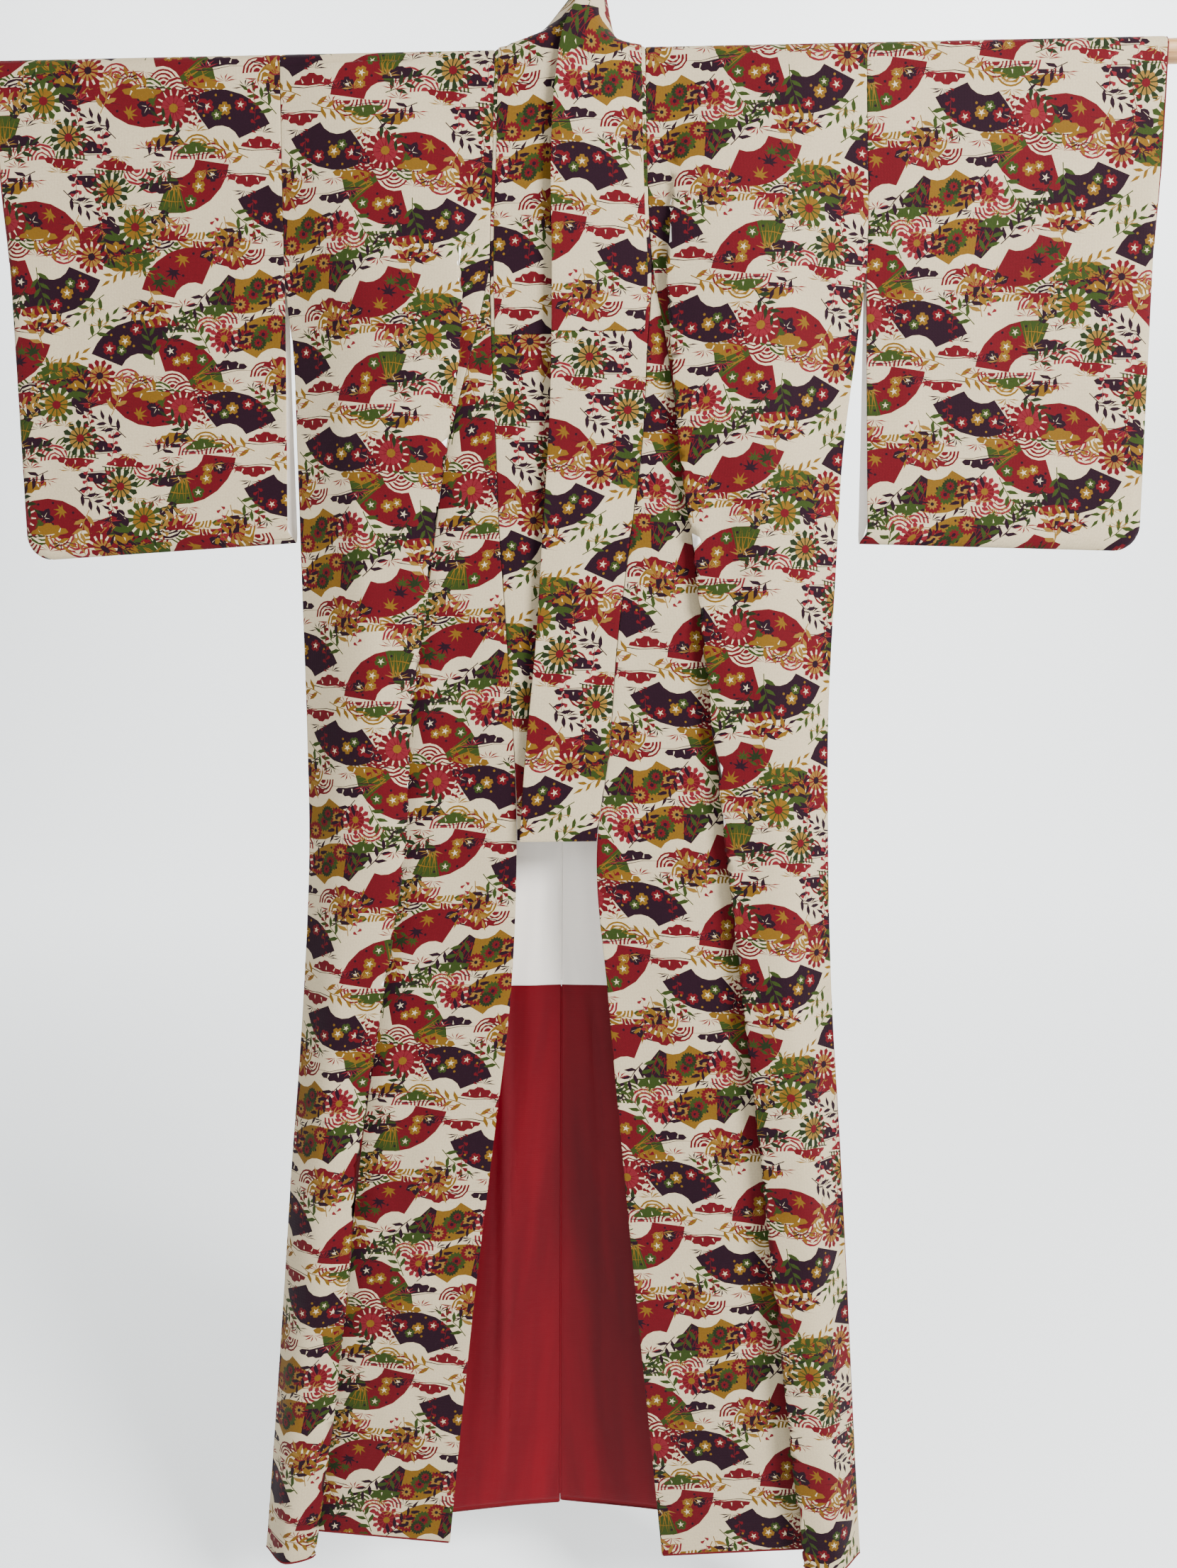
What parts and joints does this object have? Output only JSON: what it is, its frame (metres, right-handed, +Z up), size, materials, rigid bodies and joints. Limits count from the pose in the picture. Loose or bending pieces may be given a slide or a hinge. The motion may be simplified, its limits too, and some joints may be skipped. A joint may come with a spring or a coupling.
{
  "type": "kimono on a hanging rod",
  "caption": "Lined kimono with square sleeves, hung open and flat on a wooden rod with a wire hook, fronts rolled to the sides.",
  "frame": {"origin": "the bearing point inside the top of the wire hook's arc, where whatever holds the hanger touches it", "axes": "+Z up, -Y towards the viewer of the garment's front, +X towards the wearer's left"},
  "size_m": [1.33, 0.121, 1.864],
  "materials": {
    "printed_cloth": "matt crepe with a dense traditional print",
    "white_lining": "plain fine weave",
    "red_lining": "plain weave with a soft sheen",
    "rod_wood": "turned and waxed",
    "hook_steel": "bent wire"
  },
  "bodies": {
    "root": {"body_left": "printed_cloth", "body_right": "printed_cloth", "overlap_left": "printed_cloth", "overlap_right": "printed_cloth", "sleeve_left": "printed_cloth", "sleeve_right": "printed_cloth", "collar": "printed_cloth", "over_collar": "printed_cloth", "upper_lining_left": "white_lining", "upper_lining_right": "white_lining", "lower_lining_left": "red_lining", "lower_lining_right": "red_lining", "hanger_rod": "rod_wood", "hanger_hook": "hook_steel"}
  },
  "joints": []
}
